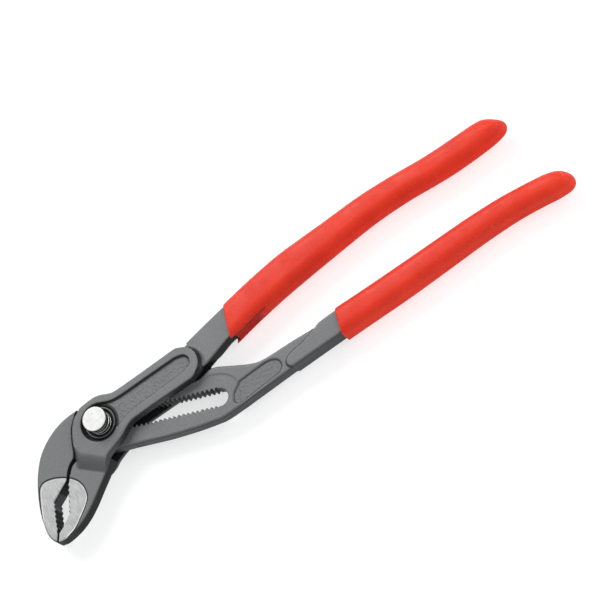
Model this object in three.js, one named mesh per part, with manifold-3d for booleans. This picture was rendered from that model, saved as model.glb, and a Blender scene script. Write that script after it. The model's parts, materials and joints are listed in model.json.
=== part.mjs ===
// Box-joint tongue and groove pliers (water pump pliers), 250 mm long, with push-button size setting.
//
// Units are millimetres. The tool lies flat with its push button up. The origin is on the pivot axis, in the
// plane of the back of the box joint. +X runs from the jaws towards the handles and +Z is the pivot axis.
// Heights in the functions below are counted from the mid-plane of the tool, and the group at the end lifts
// everything by half the thickness of the box joint.
// The outer lever carries the lower jaw, the two cheeks of the box joint and the upper handle. The inner
// lever carries the upper jaw and the toothed slot, runs between the cheeks, and ends in the lower handle.
import * as THREE from 'three';
import { mergeVertices } from 'three/addons/utils/BufferGeometryUtils.js';
import Module from 'manifold-3d';

const wasm = await Module();
wasm.setup();

// ---------------------------------------------------------------- driving dimensions
const JAW_HALF = 4.0; // half thickness of both jaws
const SHANK_HALF = 4.0; // half thickness of the handle shanks
const PLATE_HALF = 3.0; // half thickness of the inner lever where it is slotted
const CHEEK_HALF = 7.4; // half thickness over both cheeks of the box joint
const WINDOW_HALF = 3.2; // half width of the gap between the cheeks
const GRIP_HALF = 5.6; // half thickness of the dipped grips
const GRIP_ROUND = 1.9; // rounding of the grip edges
const FIT_GAP = 0.3; // gap between a grip and the shank inside it

const SLOT_ANGLE = THREE.MathUtils.degToRad(-25.5); // direction of the adjusting slot
const SLOT_ROOT = 4.0; // half width of the slot at the tooth roots
const SLOT_START = -6; // square end of the slot, measured along it from the pivot
const SLOT_END = 50; // centre of its round end
const TOOTH_PITCH = 2.0; // spacing of the slot teeth
const TOOTH_DEPTH = 0.9;
const TOOTH_GAP = 0.14; // play between slot teeth and bolt teeth

const CHEEK_PANEL_DEPTH = 1.2; // sunk panel on each cheek
const PLATE_PANEL_DEPTH = 0.5; // sunk panel on the inner lever
const BEND_START = -20; // the cheeks bend down to jaw thickness between these two values of x + y
const BEND_END = -27;

const STEM_RADIUS = 2.9; // bolt stem, which is also its front journal
const FLANGE_RADIUS = 6.2; // rear journal of the bolt
const RUNNING_GAP = 0.1; // radial play of the bolt in its bores
const COLLAR_RADIUS = 5.0; // toothed collar of the bolt
const COLLAR_TOP = -1.4;
const PIN_RADIUS = 2.0; // reduced end of the stem inside the button
const RECESS_FLOOR = 4.5; // floor of the counterbore round the button
const RECESS_RADIUS = 6.9;
const RECESS_RIM = 8.1; // rim of the chamfer at the mouth of the counterbore
const RIM_DEPTH = 1.0;
const CUP_RADIUS = 6.75;
const CUP_BORE = 5.7;
const CUP_FLOOR = 5.0;
const CUP_TOP = 6.4;
const CUP_CHAMFER = 0.3; // inner edge of the cup
const BUTTON_RADIUS = 5.1;
const BUTTON_BOTTOM = 10.4;
const BUTTON_TOP = 12.1;
const BUTTON_EDGE = 0.4; // rounding of the button's edges
const BUTTON_CROWN = 0.08; // height the button's face rises above its edge
const BUTTON_SKIN = 0.8; // metal left over the pin
const PIN_END_GAP = 0.2;
const WIRE_RADIUS = 0.35; // button spring
const SPRING_RADIUS = 4.5;
const SPRING_TURNS = 3.25;

const ROUND_SEGMENTS = 40; // facets of a full circle
const CURVE_SEGMENTS = 3; // facets between two points of an outline curve
const BEND_SEGMENTS = 8; // facets of the bend between cheek and jaw
const EDGE_SEGMENTS = 3; // facets of a grip's rounded edge
const COIL_SEGMENTS = 24; // facets of one turn of the spring
const WIRE_SEGMENTS = 5; // facets of half the wire's section
const CUT_MARGIN = 1; // how far a cutting body stands clear of the face it cuts

// ---------------------------------------------------------------- helpers
// A closed three.js geometry as a manifold-3d solid.
function solid(geometry) {
  const bare = new THREE.BufferGeometry().setAttribute('position', geometry.getAttribute('position'));
  bare.setIndex(geometry.index);
  const merged = mergeVertices(bare, 1e-4);
  const corners = merged.index.array;
  const triangles = [];
  for (let i = 0; i < corners.length; i += 3) {
    const [a, b, c] = corners.slice(i, i + 3);
    if (a !== b && b !== c && c !== a) triangles.push(a, b, c);
  }
  const vertProperties = merged.attributes.position.array;
  const triVerts = new Uint32Array(triangles);
  return new wasm.Manifold(new wasm.Mesh({ numProp: 3, vertProperties, triVerts }));
}

// A closed outline made of runs of points, each run starting where the one before it ended.
// A run of one point is a straight edge to it, and a longer run is a smooth curve through its points.
function outline(start, ...runs) {
  const shape = new THREE.Shape();
  shape.moveTo(...start);
  for (const run of runs) {
    if (run.length === 1) shape.lineTo(...run[0]);
    else shape.splineThru(run.map(([x, y]) => new THREE.Vector2(x, y)));
  }
  return shape;
}

// Straight edges through the given points.
const straight = (...points) => points.map((point) => [point]);

// A prism on a shape between two heights.
function prism(shape, low, high) {
  const settings = { depth: high - low, bevelEnabled: false, curveSegments: CURVE_SEGMENTS };
  return solid(new THREE.ExtrudeGeometry(shape, settings).translate(0, 0, low));
}

// A plate on a shape, centred on the mid-plane of the tool.
const plate = (shape, half) => prism(shape, -half, half);

// A solid turned on the pivot axis, from [radius, height] pairs that start and end on the axis.
function turned(profile) {
  const points = profile.map(([radius, height]) => new THREE.Vector2(radius, height));
  return solid(new THREE.LatheGeometry(points, ROUND_SEGMENTS).rotateX(Math.PI / 2));
}

const cylinder = (radius, low, high) => turned([[0, low], [radius, low], [radius, high], [0, high]]);

// The same cut in the front and the back face of a plate.
function cutBothFaces(shape, half, depth) {
  const front = prism(shape, half - depth, half + CUT_MARGIN);
  return front.add(prism(shape, -half - CUT_MARGIN, -half + depth));
}

// A named mesh from a manifold-3d solid.
function part(name, made, color, roughness, metalness) {
  const { vertProperties, triVerts } = made.getMesh();
  const geometry = new THREE.BufferGeometry();
  geometry.setAttribute('position', new THREE.BufferAttribute(vertProperties, 3));
  geometry.setIndex(new THREE.BufferAttribute(triVerts, 1));
  const material = new THREE.MeshStandardMaterial({ color, roughness, metalness });
  const mesh = new THREE.Mesh(geometry, material);
  mesh.name = name;
  return mesh;
}

// Saw teeth between two points as straight edges. The tooth tips lie on the line between the points, and
// the roots are sunk to the left of the direction of travel, or to the right if the depth is negative.
function sawTeeth(from, to, count, depth) {
  const tipPlace = 0.15; // places of the tip and the root within each tooth's length
  const rootPlace = 0.6;
  const start = new THREE.Vector2(...from);
  const step = new THREE.Vector2(...to).sub(start).divideScalar(count);
  const sunk = new THREE.Vector2(-step.y, step.x).setLength(Math.abs(depth)).multiplyScalar(Math.sign(depth));
  const points = [];
  for (let i = 0; i < count; i++) {
    const tip = start.clone().addScaledVector(step, i + tipPlace);
    const root = start.clone().addScaledVector(step, i + rootPlace).add(sunk);
    points.push(tip.toArray(), root.toArray());
  }
  points.push(to);
  return straight(...points);
}

// ---------------------------------------------------------------- outer lever
// The lower jaw and both cheeks seen from the front, without the shank.
function outerHeadOutline() {
  return outline(
    [-4.8, 10.3],
    [[-8.6, 8.1], [-11.6, 4.6], [-13.8, 0.3], [-15.4, -3.2], [-17.2, -5.3]],
    [[-19.6, -6.1], [-21.4, -7.6], [-24.2, -10.6]],
    ...sawTeeth([-24.2, -10.6], [-30.5, -22], 6, -0.55),
    ...straight([-34.6, -24.4], [-37.9, -25.8], [-40.3, -29.2]),
    [[-38.6, -30.0], [-35.2, -30.1], [-30, -29.2], [-25, -27.4], [-20, -24.7], [-15, -21.4], [-8.2, -17.0]],
    [[-6.2, -15.2], [-4, -13.6], [0, -12.3], [4.6, -11.0], [8, -9.3], [11, -8.2], [15, -8.1], [25, -8.6]],
    [[40.5, -9.6]],
    [[45.9, -7.4], [48.1, -2], [45.9, 3.4], [40.5, 5.5]],
    [[30, 5.9], [13.4, 6.7], [9.6, 7.5], [6.6, 9.2], [3.4, 10.3], [0, 10.5], [-4.8, 10.3]],
  );
}

// Shank inside the upper grip, from the box joint to its buried end.
function outerShankOutline() {
  return outline(
    [40, 5.4],
    [[45, 5.8], [55, 7.2], [66, 8.5], [80, 9.8], [95, 10.8], [115, 10.0], [135, 9.4], [155, 7.0], [186, 3.4]],
    [[190, 0], [186, -3.2]],
    [[170, -3.0], [155, -1.0], [135, 1.2], [115, 0.8], [95, -0.1], [80, -1.2], [66, -3.2], [60, -3.9]],
    [[54, -5.5], [48, -7.0], [42, -7.6]],
  );
}

// Opening between the cheeks that the inner lever runs through. It clears the inner lever at every
// setting of the slot and at every opening angle of the handles.
function windowOutline() {
  return outline(
    [-17.2, -4.7],
    ...straight([-7.7, -9.0], [-3.4, -15.4], [-1.6, -22], [56, -22], [56, -5.2], [42, -4.3], [38.4, -4.1]),
    ...straight([15.2, 6.9], [15.2, 16], [-30, 16], [-30, 2]),
  );
}

function cheekPanelOutline() {
  return outline(
    [4.6, 6.4],
    [[8, 4.6], [13, 3.6], [26, 2.9], [39, 2.1]],
    [[42.6, 0.9], [43.9, -1.6], [42.8, -4.0], [39.6, -5.0]],
    [[28, -4.8], [18, -4.5], [11, -4.9], [5.4, -6.3]],
    [[0, 0]],
  );
}

// Limits the head to jaw thickness below the bend and to cheek thickness above it.
function headThickness() {
  const far = 80; // beyond every end of the head
  const start = BEND_START / Math.SQRT2;
  const end = BEND_END / Math.SQRT2;
  const third = (start - end) / 3;
  const side = new THREE.Shape();
  side.moveTo(far, CHEEK_HALF);
  side.lineTo(start, CHEEK_HALF);
  side.bezierCurveTo(start - third, CHEEK_HALF, end + third, JAW_HALF, end, JAW_HALF);
  side.lineTo(-far, JAW_HALF);
  side.lineTo(-far, -JAW_HALF);
  side.lineTo(end, -JAW_HALF);
  side.bezierCurveTo(end + third, -JAW_HALF, start - third, -CHEEK_HALF, start, -CHEEK_HALF);
  side.lineTo(far, -CHEEK_HALF);
  const settings = { depth: 2 * far, bevelEnabled: false, curveSegments: BEND_SEGMENTS };
  const geometry = new THREE.ExtrudeGeometry(side, settings).translate(0, 0, -far);
  return solid(geometry.rotateX(Math.PI / 2).rotateZ(Math.PI / 4));
}

function boltBores() {
  const top = CHEEK_HALF + CUT_MARGIN;
  const flare = (RECESS_RIM - RECESS_RADIUS) / RIM_DEPTH;
  const front = turned([
    [0, RECESS_FLOOR], [RECESS_RADIUS, RECESS_FLOOR], [RECESS_RADIUS, CHEEK_HALF - RIM_DEPTH],
    [RECESS_RIM + CUT_MARGIN * flare, top], [0, top],
  ]);
  const stem = cylinder(STEM_RADIUS + RUNNING_GAP, 0, RECESS_FLOOR + CUT_MARGIN);
  const rear = cylinder(FLANGE_RADIUS + RUNNING_GAP, -CHEEK_HALF - CUT_MARGIN, 0);
  return front.add(stem).add(rear);
}

function outerLever() {
  const head = plate(outerHeadOutline(), CHEEK_HALF).intersect(headThickness());
  return head
    .add(plate(outerShankOutline(), SHANK_HALF))
    .subtract(plate(windowOutline(), WINDOW_HALF))
    .subtract(cutBothFaces(cheekPanelOutline(), CHEEK_HALF, CHEEK_PANEL_DEPTH))
    .subtract(boltBores());
}

// ---------------------------------------------------------------- inner lever
function upperJawOutline() {
  return outline(
    [-5.2, 12.2],
    [[-10, 12.5], [-15, 12.1], [-20, 10.7], [-25, 8.2], [-29, 5.2], [-33, 0.5], [-36, -4.2]],
    [[-38.6, -9.6], [-40.6, -15], [-41.9, -20], [-42.4, -24], [-41.8, -27], [-40.6, -28.9]],
    [[-38.2, -25.5]],
    ...sawTeeth([-38.2, -25.5], [-33.3, -14.3], 6, -0.5),
    ...straight([-24.6, -10.3]),
    [[-21.6, -7.1], [-19.8, -5.6], [-17.5, -4.6]],
    [[-15.8, -1.9], [-14.9, 0.5], [-13.4, 3.7], [-11.4, 7.1], [-8.5, 9.9], [-5.2, 12.2]],
  );
}

// The slotted neck between the cheeks, and the thin stretch behind it.
function neckOutline() {
  return outline(
    [-14, 8],
    [[-8, 10.6], [0, 9.6]],
    [[18, 0.5], [36, -7.9]],
    [[41.5, -9.6], [44.6, -9.4], [47.6, -9.1], [50.4, -9.9], [53, -11.6], [57, -14.4], [61, -17.1]],
    [[65, -19.2], [70, -20.3], [80, -21.2], [92, -22.7]],
    [[92, -31.2]],
    [[75, -30.8], [58, -30.3], [44, -29.8], [38, -28.4], [29, -25.3], [19, -21.2]],
    ...straight([1, -12.6], [-7.5, -8.6], [-17.6, -4.4], [-22, -2]),
  );
}

// Shank inside the lower grip, from its rounded step on the neck to its buried end.
function innerShankOutline() {
  return outline(
    [94, -22.4],
    [[102, -22.6], [115, -23.7], [130, -24.7], [150, -25.9], [165, -26.9], [180, -28.6], [194, -31.8]],
    [[199, -35.4], [195, -38.6]],
    [[180, -36.2], [165, -35.3], [150, -34.9], [130, -34.2], [115, -33.2], [100, -32.1], [76.4, -31]],
    [[74.8, -29.2], [75.2, -26.9], [78, -25.5], [84, -24.9], [89, -23.9], [94, -22.4]],
  );
}

function platePanelOutline() {
  return outline(
    [55, -21.2],
    [[62, -21.3], [69, -21.8], [72.6, -24], [72.8, -27.2], [70.4, -29]],
    [[60, -29.2], [51.6, -29.3]],
    [[49, -27.4], [50.6, -24], [55, -21.2]],
  );
}

// Half width of the toothed slot at a distance along it. Each tooth is a wave cut off flat at tip and root.
function toothedHalfWidth(along, root) {
  const steepness = 1.6;
  const wave = steepness * Math.cos((2 * Math.PI * along) / TOOTH_PITCH);
  const raised = (1 + THREE.MathUtils.clamp(wave, -1, 1)) / 2;
  return root - TOOTH_DEPTH * raised;
}

// A strip along the slot with teeth on both sides, the tooth tips pointing inwards.
function toothedStrip(start, end, root) {
  const samplesPerTooth = 8;
  const samples = Math.round(((end - start) / TOOTH_PITCH) * samplesPerTooth);
  const upper = [];
  for (let i = 0; i <= samples; i++) {
    const along = start + ((end - start) * i) / samples;
    upper.push([along, toothedHalfWidth(along, root)]);
  }
  const lower = upper.map(([along, width]) => [along, -width]).reverse();
  const [first, ...others] = [...upper, ...lower];
  return outline(first, ...straight(...others));
}

function slotCut() {
  const strip = plate(toothedStrip(SLOT_START, SLOT_END, SLOT_ROOT), JAW_HALF);
  const roundEnd = cylinder(SLOT_ROOT - TOOTH_DEPTH / 2, -JAW_HALF, JAW_HALF).translate(SLOT_END, 0, 0);
  return strip.add(roundEnd).rotate(0, 0, THREE.MathUtils.radToDeg(SLOT_ANGLE));
}

function innerLever() {
  return plate(upperJawOutline(), JAW_HALF)
    .add(plate(neckOutline(), PLATE_HALF))
    .add(plate(innerShankOutline(), SHANK_HALF))
    .subtract(slotCut())
    .subtract(cutBothFaces(platePanelOutline(), PLATE_HALF, PLATE_PANEL_DEPTH));
}

// ---------------------------------------------------------------- bolt, button, spring
function pivotBolt() {
  const overlap = 0.5; // how far joined bodies run into each other
  const flange = cylinder(FLANGE_RADIUS, -CHEEK_HALF, -WINDOW_HALF);
  const reach = 3 * TOOTH_PITCH; // past the collar's edge, in whole teeth
  const strip = toothedStrip(-reach, reach, SLOT_ROOT - TOOTH_GAP);
  const teeth = prism(strip, -WINDOW_HALF - overlap, COLLAR_TOP);
  const collar = teeth.intersect(cylinder(COLLAR_RADIUS, -CHEEK_HALF, 0));
  const stem = cylinder(STEM_RADIUS, -WINDOW_HALF - overlap, BUTTON_BOTTOM - overlap);
  const pin = cylinder(PIN_RADIUS, 0, BUTTON_TOP - BUTTON_SKIN - PIN_END_GAP);
  const turnedCollar = collar.rotate(0, 0, THREE.MathUtils.radToDeg(SLOT_ANGLE));
  return flange.add(turnedCollar).add(stem).add(pin);
}

function pushButton() {
  const bore = PIN_RADIUS + RUNNING_GAP / 2;
  const boreTop = BUTTON_TOP - BUTTON_SKIN;
  return turned([
    [0, boreTop], [bore, boreTop], [bore, BUTTON_BOTTOM], [BUTTON_RADIUS - BUTTON_EDGE, BUTTON_BOTTOM],
    [BUTTON_RADIUS, BUTTON_BOTTOM + BUTTON_EDGE], [BUTTON_RADIUS, BUTTON_TOP - BUTTON_EDGE],
    [BUTTON_RADIUS - BUTTON_EDGE, BUTTON_TOP - BUTTON_CROWN],
    [BUTTON_RADIUS - 2 * BUTTON_EDGE, BUTTON_TOP], [0, BUTTON_TOP],
  ]);
}

function springCup() {
  const bore = STEM_RADIUS + 4 * RUNNING_GAP;
  const low = RECESS_FLOOR + RUNNING_GAP / 2;
  const blank = turned([
    [0, low], [CUP_RADIUS, low], [CUP_RADIUS, CUP_TOP], [CUP_BORE + CUP_CHAMFER, CUP_TOP],
    [CUP_BORE, CUP_TOP - CUP_CHAMFER], [CUP_BORE, CUP_FLOOR], [0, CUP_FLOOR],
  ]);
  return blank.subtract(cylinder(bore, 0, CUP_TOP));
}

class Helix extends THREE.Curve {
  constructor(radius, low, high, turns) {
    super();
    Object.assign(this, { radius, low, high, turns });
  }

  getPoint(t, target = new THREE.Vector3()) {
    const angle = 2 * Math.PI * this.turns * t;
    const height = THREE.MathUtils.lerp(this.low, this.high, t);
    return target.set(this.radius * Math.cos(angle), this.radius * Math.sin(angle), height);
  }
}

function buttonSpring() {
  const lift = WIRE_RADIUS + RUNNING_GAP;
  const path = new Helix(SPRING_RADIUS, CUP_FLOOR + lift, BUTTON_BOTTOM - lift, SPRING_TURNS);
  const wire = new THREE.Shape().absarc(0, 0, WIRE_RADIUS, 0, 2 * Math.PI);
  const steps = Math.round(COIL_SEGMENTS * SPRING_TURNS);
  const settings = { extrudePath: path, steps, curveSegments: WIRE_SEGMENTS };
  return solid(new THREE.ExtrudeGeometry(wire, settings));
}

// ---------------------------------------------------------------- grips
// A dipped sleeve: a plate with rounded edges, hollow where the shank sits.
function sleeve(shape, shank) {
  const settings = {
    depth: 2 * (GRIP_HALF - GRIP_ROUND),
    bevelThickness: GRIP_ROUND,
    bevelSize: GRIP_ROUND,
    bevelOffset: -GRIP_ROUND,
    bevelSegments: EDGE_SEGMENTS,
    curveSegments: CURVE_SEGMENTS,
  };
  const body = new THREE.ExtrudeGeometry(shape, settings).translate(0, 0, GRIP_ROUND - GRIP_HALF);
  const room = { ...settings, depth: 2 * SHANK_HALF, bevelThickness: FIT_GAP, bevelSize: FIT_GAP };
  room.bevelOffset = 0;
  room.bevelSegments = 1;
  const hollow = new THREE.ExtrudeGeometry(shank, room).translate(0, 0, -SHANK_HALF);
  return solid(body).subtract(solid(hollow));
}

function outerGripOutline() {
  return outline(
    [67, 10.5],
    [[80, 12.0], [95, 13.0], [105, 12.7], [120, 12.1], [135, 11.6], [150, 9.9], [165, 7.6], [180, 6.4]],
    [[187.5, 5.85], [192.4, 4.6], [196.9, 0.6], [198.1, -2.2], [195.8, -4.8], [189.6, -5.85], [180, -5.8]],
    [[170, -5.2], [160, -3.9], [150, -2.4], [135, -1.3], [120, -1.5], [95, -2.4], [80, -3.5], [67, -5.2]],
    [[61.4, -5.9]],
  );
}

function innerGripOutline() {
  return outline(
    [102.8, -20.9],
    [[115, -21.9], [130, -22.9], [150, -24.1], [165, -25.0], [180, -26.6], [192, -28.8]],
    [[199, -30.4], [204, -32.8], [206.8, -36.6], [206.6, -40], [203.4, -41.8], [197, -41.3]],
    [[190, -39.8], [180, -38.2], [165, -37.1], [150, -36.7], [130, -36.1], [115, -35.2], [98.8, -34.2]],
  );
}

// ---------------------------------------------------------------- assembly
const STEEL = [0x6f7272, 0.5, 0.75];
const BRIGHT = [0xe8e8e6, 0.25, 0.9];
const DARK = [0x2a2c2c, 0.4, 0.8];
const RED = [0xd8281f, 0.6, 0.0];

const pliers = new THREE.Group();
pliers.position.z = CHEEK_HALF;
pliers.add(
  part('outer_lever', outerLever(), ...STEEL),
  part('inner_lever', innerLever(), ...STEEL),
  part('pivot_bolt', pivotBolt(), ...DARK),
  part('push_button', pushButton(), ...BRIGHT),
  part('spring_cup', springCup(), ...DARK),
  part('button_spring', buttonSpring(), ...DARK),
  part('outer_grip', sleeve(outerGripOutline(), outerShankOutline()), ...RED),
  part('inner_grip', sleeve(innerGripOutline(), innerShankOutline()), ...RED),
);

export default pliers;
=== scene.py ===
"""Looks of a pair of push-button tongue and groove pliers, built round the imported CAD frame.

The forged levers and the dipped grips are made as implicit solids. Their outlines and steps are read from
sections through the CAD nodes, and rounding, drafts, fillets and ground faces are added to them. A surface
net then turns each solid into a mesh. Lengths are in millimetres until a mesh is written in metres.
"""
import json
import math

import bmesh
import bpy
import numpy as np
from mathutils import Matrix, Vector


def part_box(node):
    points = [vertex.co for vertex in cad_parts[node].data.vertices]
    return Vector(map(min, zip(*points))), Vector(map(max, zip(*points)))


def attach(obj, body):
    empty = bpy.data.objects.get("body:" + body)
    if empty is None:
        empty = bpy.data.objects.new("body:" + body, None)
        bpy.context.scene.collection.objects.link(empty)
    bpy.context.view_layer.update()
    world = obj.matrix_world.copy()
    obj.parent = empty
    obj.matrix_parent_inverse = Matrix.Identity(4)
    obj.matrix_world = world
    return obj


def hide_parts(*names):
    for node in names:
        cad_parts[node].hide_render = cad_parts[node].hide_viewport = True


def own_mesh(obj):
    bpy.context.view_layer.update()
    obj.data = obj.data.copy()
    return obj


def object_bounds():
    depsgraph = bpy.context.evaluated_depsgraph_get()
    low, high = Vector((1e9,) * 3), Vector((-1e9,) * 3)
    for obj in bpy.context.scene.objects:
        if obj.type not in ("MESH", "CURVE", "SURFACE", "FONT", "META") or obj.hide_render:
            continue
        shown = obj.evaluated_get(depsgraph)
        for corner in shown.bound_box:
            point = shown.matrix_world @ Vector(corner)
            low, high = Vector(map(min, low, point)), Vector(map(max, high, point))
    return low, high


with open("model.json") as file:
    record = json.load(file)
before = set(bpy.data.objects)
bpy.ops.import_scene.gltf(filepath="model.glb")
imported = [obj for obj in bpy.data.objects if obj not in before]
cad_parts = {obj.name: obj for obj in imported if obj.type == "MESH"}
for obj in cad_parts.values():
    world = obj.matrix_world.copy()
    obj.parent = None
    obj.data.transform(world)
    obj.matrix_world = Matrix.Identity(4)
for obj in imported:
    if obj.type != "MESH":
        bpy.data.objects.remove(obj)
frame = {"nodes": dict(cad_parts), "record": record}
cad_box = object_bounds()

MM = 0.001
MID_Z = sum(c[2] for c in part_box("outer_lever")) / 2 / MM  # height of the mid-plane of the tool
CHEEK_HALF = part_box("outer_lever")[1][2] / MM - MID_Z
JAW_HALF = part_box("inner_lever")[1][2] / MM - MID_Z
GRIP_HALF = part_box("outer_grip")[1][2] / MM - MID_Z
WINDOW_HALF = 3.2  # half width of the gap between the cheeks
PLATE_HALF = 3.0  # half thickness of the slotted neck

FINE = 0.22  # spacing of the sampling grid at the head
COARSE = 0.5  # spacing along the shanks and grips
BAND = 6.0  # distances are only worked out this close to an outline
GRID_MARGIN = 3  # steps of a sampling grid past the node's box
ON_RIM = 0.3  # outlines closer than this run together


def joint(name):
    """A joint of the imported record."""
    return next(entry for entry in frame["record"]["behaviour"]["joints"] if entry["name"] == name)


def node_box(node):
    """Low and high corners of a node's box, with height counted from the mid-plane."""
    return [np.array(corner) / MM - (0, 0, MID_Z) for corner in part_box(node)]


# ---------------------------------------------------------------- sections through the CAD nodes
def node_triangles(node):
    """Corners of a node's triangles, shape (n, 3, 3), with height counted from the mid-plane."""
    mesh = frame["nodes"][node].data
    mesh.calc_loop_triangles()
    points = np.empty(len(mesh.vertices) * 3)
    mesh.vertices.foreach_get("co", points)
    corners = np.empty(len(mesh.loop_triangles) * 3, dtype=int)
    mesh.loop_triangles.foreach_get("vertices", corners)
    points = points.reshape(-1, 3) / MM - (0, 0, MID_Z)
    return points[corners].reshape(-1, 3, 3)


def section(node, height):
    """Line segments, shape (n, 2, 2), where a level plane cuts a node."""
    triangles = node_triangles(node)
    triangles = triangles[(triangles[:, :, 2].min(1) < height) & (triangles[:, :, 2].max(1) > height)]
    segments = []
    for tri in triangles:
        ends = []
        for a, b in ((0, 1), (1, 2), (2, 0)):
            za, zb = tri[a, 2] - height, tri[b, 2] - height
            if (za > 0) != (zb > 0):
                ends.append(tri[a, :2] + (tri[b, :2] - tri[a, :2]) * za / (za - zb))
        segments.append(ends)
    return np.array(segments)


def loop_segments(points):
    """A smooth closed curve through a few points, as short line segments."""
    p = np.array(points, float)
    before, after, later = np.roll(p, 1, 0), np.roll(p, -1, 0), np.roll(p, -2, 0)
    curve = []
    for t in np.linspace(0, 1, 8, endpoint=False):
        bend = (2 * p, (after - before) * t, (2 * before - 5 * p + 4 * after - later) * t**2,
                (3 * p - before - 3 * after + later) * t**3)
        curve.append(sum(bend) / 2)
    curve = np.stack(curve, 1).reshape(-1, 2)
    return np.stack([curve, np.roll(curve, -1, 0)], 1)


def stations(low, high, step):
    """Evenly spaced coordinates from a little below one value to a little above another."""
    return np.arange(low - GRID_MARGIN * step, high + GRID_MARGIN * step, step)


class Grid:
    """Sample points of a box-shaped region. The steps along x may vary."""

    def __init__(self, xs, low, high, step):
        self.x = np.asarray(xs)
        self.y = stations(low[1], high[1], step)
        self.z = stations(low[2], high[2], step)
        self.x2, self.y2 = np.meshgrid(self.x, self.y, indexing="ij")
        self.x3, self.y3 = self.x2[:, :, None], self.y2[:, :, None]
        self.z3 = self.z[None, None, :]

    def inside(self, segments):
        """True at the points inside an outline, by counting crossings along x."""
        odd = np.zeros(self.x2.shape, bool)
        for (xa, ya), (xb, yb) in segments:
            rows = np.nonzero((self.y > min(ya, yb)) & (self.y <= max(ya, yb)))[0]
            if len(rows):
                cross = xa + (xb - xa) * (self.y[rows] - ya) / (yb - ya)
                odd[:, rows] ^= self.x[:, None] < cross[None, :]
        return odd

    def distance(self, segments):
        """Unsigned distance to line segments, up to BAND."""
        far = np.full(self.x2.shape, BAND**2)
        for a, b in segments:
            low, high = np.minimum(a, b) - BAND, np.maximum(a, b) + BAND
            i = slice(*np.searchsorted(self.x, (low[0], high[0])))
            j = slice(*np.searchsorted(self.y, (low[1], high[1])))
            px, py = self.x2[i, j] - a[0], self.y2[i, j] - a[1]
            dx, dy = b - a
            t = np.clip((px * dx + py * dy) / max(dx * dx + dy * dy, 1e-12), 0, 1)
            far[i, j] = np.minimum(far[i, j], (px - t * dx) ** 2 + (py - t * dy) ** 2)
        return np.sqrt(far)

    def signed(self, segments):
        """Signed distance to an outline, negative inside."""
        return np.where(self.inside(segments), -1, 1) * self.distance(segments)

    def step_edge(self, node, above, below):
        """Signed distance to the edge of a step in a node's face, negative on the high side.
        Parts of the upper outline that run along the lower one are the node's rim, not the step."""
        upper, lower = section(node, above), section(node, below)
        middles = upper.mean(1)
        rim = np.array([segment_gap(m, lower) < ON_RIM for m in middles])
        return np.where(self.inside(upper), -1, 1) * self.distance(upper[~rim])


def segment_gap(point, segments):
    """Distance from one point to the nearest of many segments."""
    a, d = segments[:, 0], segments[:, 1] - segments[:, 0]
    t = np.clip(((point - a) * d).sum(1) / np.maximum((d * d).sum(1), 1e-12), 0, 1)
    return np.sqrt((((a + t[:, None] * d) - point) ** 2).sum(1).min())


# ---------------------------------------------------------------- implicit solids
def smooth_step(value, width):
    """0 where the value is well below zero and 1 well above it, over a given width."""
    t = np.clip(value / width + 0.5, 0, 1)
    return t * t * (3 - 2 * t)


def meet(side, top, radius):
    """The inside of both surfaces, with their common edge rounded."""
    a, b = side + radius, top + radius
    return np.minimum(np.maximum(a, b), 0) + np.hypot(np.maximum(a, 0), np.maximum(b, 0)) - radius


def level(grid, height):
    """Distance above a height map, allowing for its slope. Heights count both ways from the mid-plane."""
    gx, gy = np.gradient(height, grid.x, grid.y)
    slope = np.sqrt(1 + gx**2 + gy**2)
    return (np.abs(grid.z3) - height[:, :, None]) / slope[:, :, None]


def spread(plane, known, passes=7):
    """A 2-D field whose known values are carried outwards, so that it has no jump where they end."""
    sides = ((1, 0), (-1, 0), (1, 1), (-1, 1))
    for _ in range(passes):
        total = sum(np.roll(plane * known, *side) for side in sides)
        count = sum(np.roll(known, *side).astype(int) for side in sides)
        plane = np.where(known | (count == 0), plane, total / np.maximum(count, 1))
        known = known | (count > 0)
    return plane


def surface_net(grid, field):
    """Points and quads of the surface where a sampled field crosses zero, and the points' grid indices."""
    solid = field < 0
    corners = [(i, j, k) for i in (0, 1) for j in (0, 1) for k in (0, 1)]
    cells = tuple(n - 1 for n in field.shape)
    count = np.zeros(cells, np.int8)
    for i, j, k in corners:
        count += solid[i:i + cells[0], j:j + cells[1], k:k + cells[2]]
    mixed = (count > 0) & (count < 8)
    index = np.argwhere(mixed)
    total, hits = np.zeros((len(index), 3)), np.zeros((len(index), 1))
    for a in corners:
        fa = field[tuple((index + a).T)]
        for axis in range(3):
            if a[axis]:
                continue
            b = tuple(a[n] + (n == axis) for n in range(3))
            fb = field[tuple((index + b).T)]
            crossing = (fa < 0) != (fb < 0)
            t = np.where(crossing, fa / np.where(crossing, fa - fb, 1), 0)
            point = np.array(a) + t[:, None] * np.eye(3)[axis]
            total += point * crossing[:, None]
            hits += crossing[:, None]
    where = index + total / hits
    ids = np.full(cells, -1, np.int32)
    ids[mixed] = np.arange(len(index))
    quads = [quads_across(solid, ids, axis) for axis in range(3)]
    lines = enumerate((grid.x, grid.y, grid.z))
    points = [np.interp(where[:, n], np.arange(len(line)), line) for n, line in lines]
    return np.stack(points, 1), np.concatenate(quads), where


def quads_across(solid, ids, axis):
    """One quad for each grid edge along an axis that the surface crosses."""
    solid, ids = np.moveaxis(solid, axis, 0), np.moveaxis(ids, axis, 0)
    here, there = solid[:-1, 1:-1, 1:-1], solid[1:, 1:-1, 1:-1]
    i, j, k = np.nonzero(here != there)
    ring = np.stack([ids[i, j, k], ids[i, j + 1, k], ids[i, j + 1, k + 1], ids[i, j, k + 1]], 1)
    flip = ~here[i, j, k] if axis != 1 else here[i, j, k]
    ring[flip] = ring[flip][:, ::-1]
    return ring


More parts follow.
